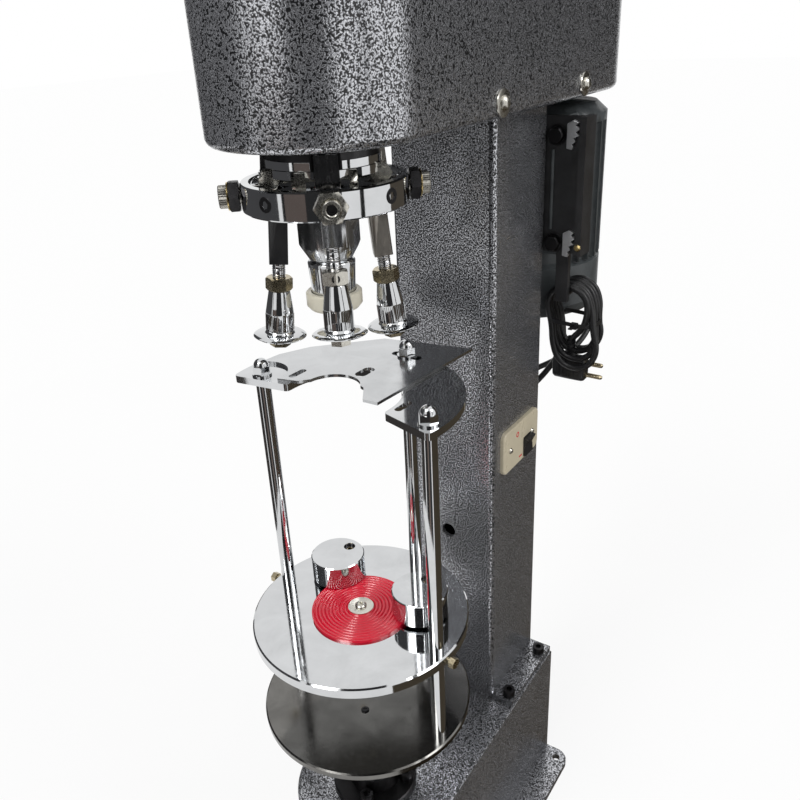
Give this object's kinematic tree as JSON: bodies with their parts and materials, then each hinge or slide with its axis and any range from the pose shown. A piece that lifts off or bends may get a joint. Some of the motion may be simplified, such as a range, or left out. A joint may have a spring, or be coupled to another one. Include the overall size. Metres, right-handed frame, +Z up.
{
  "type": "bottle capping machine",
  "caption": "Bench-top machine that presses, threads and seals caps on bottles: column, hooded belt-driven spindle with a roller head, and a lifting carriage with an adjustable bottle tray.",
  "frame": {"origin": "underside of the foot plate, on the spindle's axis", "axes": "+Z up along the spindle; +Y back to the column and motor; +X the side that carries the switch"},
  "size_m": [0.2104, 0.536, 0.9],
  "materials": {
    "black_hammertone": "gloss hammertone",
    "black_paint": "satin",
    "chrome": "polished",
    "bright_steel": "satin",
    "black_oxide": "satin",
    "zinc": "satin",
    "brass": "satin",
    "grey_paint": "satin",
    "cast_aluminium": "satin",
    "cast_iron": "machined",
    "ivory_plastic": "gloss",
    "black_plastic": "matte",
    "red_rubber": "gloss",
    "black_rubber": "matte"
  },
  "bodies": {
    "frame": {"foot_plate": "black_hammertone", "base_box": "black_hammertone", "column": "black_hammertone", "socket_screws": "black_oxide", "lift_bush": "black_oxide", "head_plate": "black_paint", "hood": "black_hammertone", "hood_screws": "zinc", "bearing_housing": "cast_iron", "hex_bolts": "zinc", "spindle_bearings": "bright_steel", "motor_bracket": "black_paint", "motor_body": "grey_paint", "motor_fan_cover": "grey_paint", "terminal_box": "black_plastic", "switch_plate": "ivory_plastic", "drive_belt": "black_rubber", "cord_gland": "black_plastic", "power_cord": "black_rubber", "motor_cable": "black_rubber", "cord_hank": "black_rubber", "power_plug": "black_rubber"},
    "switch": {"switch_rocker": "black_plastic"},
    "rotor": {"motor_shaft": "bright_steel", "motor_pulley": "cast_aluminium"},
    "spindle": {"spindle_shaft": "bright_steel", "spindle_pulley": "cast_aluminium", "arm_carrier": "chrome", "head_flange": "black_oxide", "adjusting_ring": "chrome", "adjusting_screws": "black_oxide", "arm_pivots": "zinc", "chuck_body": "chrome", "chuck_sleeve": "chrome", "chuck_spring": "bright_steel"},
    "pad": {"chuck_pad": "ivory_plastic"},
    "carriage": {"lift_shaft": "chrome", "lower_plate": "chrome", "tray_rods": "chrome", "neck_plate": "chrome", "rod_nuts": "chrome"},
    "guide": {"guide_plate": "bright_steel"},
    "tray": {"upper_plate": "chrome", "tray_screws": "zinc", "rubber_pad": "red_rubber", "pad_screw": "zinc"},
    "stop_left": {"eccentric_left": "chrome"},
    "stop_right": {"eccentric_right": "chrome"},
    "arm_1_body": {"arm_1": "black_oxide", "stem_nuts_1": "brass"},
    "roller_1_body": {"roller_1": "chrome"},
    "arm_2_body": {"arm_2": "black_oxide", "stem_nuts_2": "brass"},
    "roller_2_body": {"roller_2": "chrome"},
    "arm_3_body": {"arm_3": "black_oxide", "stem_nuts_3": "brass"},
    "roller_3_body": {"roller_3": "chrome"},
    "arm_4_body": {"arm_4": "black_oxide", "stem_nuts_4": "brass"},
    "roller_4_body": {"roller_4": "chrome"}
  },
  "joints": [
    {"name": "spindle_turn", "type": "hinge", "parent": "frame", "child": "spindle", "pos_m": [0, 0, 0.77], "axis": [0, 0, 1], "continuous": true},
    {"name": "rotor_turn", "type": "hinge", "parent": "frame", "child": "rotor", "pos_m": [0, 0.333, 0.8], "axis": [0, 0, 1], "continuous": true},
    {"name": "pad_press", "type": "slide", "parent": "spindle", "child": "pad", "axis": [0, 0, 1], "range_m": [0, 0.006], "stiffness_N_per_m": 2000, "springref_m": -0.005, "deforming": ["chuck_spring"]},
    {"name": "carriage_lift", "type": "slide", "parent": "frame", "child": "carriage", "axis": [0, 0, 1], "range_m": [0, 0.03]},
    {"name": "tray_height", "type": "slide", "parent": "carriage", "child": "tray", "axis": [0, 0, 1], "range_m": [-0.07, 0.12]},
    {"name": "guide_shift", "type": "slide", "parent": "carriage", "child": "guide", "axis": [0.9984, -0.0558, 0], "range_m": [-0.01, 0.01]},
    {"name": "switch_rock", "type": "hinge", "parent": "frame", "child": "switch", "pos_m": [0.0515, 0.215, 0.4465], "axis": [0, -1, 0], "range_deg": [0, 18]},
    {"name": "stop_left_turn", "type": "hinge", "parent": "tray", "child": "stop_left", "pos_m": [-0.04087, 0.04115, 0.385], "axis": [0, 0, 1], "continuous": true},
    {"name": "stop_right_turn", "type": "hinge", "parent": "tray", "child": "stop_right", "pos_m": [0.0452, 0.03634, 0.385], "axis": [0, 0, 1], "continuous": true},
    {"name": "arm_1_close", "type": "hinge", "parent": "spindle", "child": "arm_1_body", "pos_m": [0.02696, 0.02385, 0.7427], "axis": [-0.6626, 0.749, 0], "range_deg": [0, 4.5], "stiffness_Nm_per_rad": 0.5, "springref_deg": -5.73},
    {"name": "roller_1_spin", "type": "hinge", "parent": "arm_1_body", "child": "roller_1_body", "pos_m": [0.02876, 0.02544, 0.66259], "axis": [-0.0672, -0.0595, 0.996], "continuous": true},
    {"name": "arm_2_close", "type": "hinge", "parent": "spindle", "child": "arm_2_body", "pos_m": [-0.02385, 0.02696, 0.7427], "axis": [-0.749, -0.6626, 0], "range_deg": [0, 4.5], "stiffness_Nm_per_rad": 0.5, "springref_deg": -5.73},
    {"name": "roller_2_spin", "type": "hinge", "parent": "arm_2_body", "child": "roller_2_body", "pos_m": [-0.02544, 0.02876, 0.66259], "axis": [0.0595, -0.0672, 0.996], "continuous": true},
    {"name": "arm_3_close", "type": "hinge", "parent": "spindle", "child": "arm_3_body", "pos_m": [-0.02696, -0.02385, 0.7427], "axis": [0.6626, -0.749, 0], "range_deg": [0, 4.5], "stiffness_Nm_per_rad": 0.5, "springref_deg": -5.73},
    {"name": "roller_3_spin", "type": "hinge", "parent": "arm_3_body", "child": "roller_3_body", "pos_m": [-0.02876, -0.02544, 0.66259], "axis": [0.0672, 0.0595, 0.996], "continuous": true},
    {"name": "arm_4_close", "type": "hinge", "parent": "spindle", "child": "arm_4_body", "pos_m": [0.02385, -0.02696, 0.7427], "axis": [0.749, 0.6626, 0], "range_deg": [0, 4.5], "stiffness_Nm_per_rad": 0.5, "springref_deg": -5.73},
    {"name": "roller_4_spin", "type": "hinge", "parent": "arm_4_body", "child": "roller_4_body", "pos_m": [0.02544, -0.02876, 0.66259], "axis": [-0.0595, 0.0672, 0.996], "continuous": true}
  ],
  "couplings": [
    {"joint": "rotor_turn", "follows": "spindle_turn", "ratio": 2},
    {"joint": "arm_2_close", "follows": "arm_1_close", "ratio": 1},
    {"joint": "arm_3_close", "follows": "arm_1_close", "ratio": 1},
    {"joint": "arm_4_close", "follows": "arm_1_close", "ratio": 1}
  ]
}
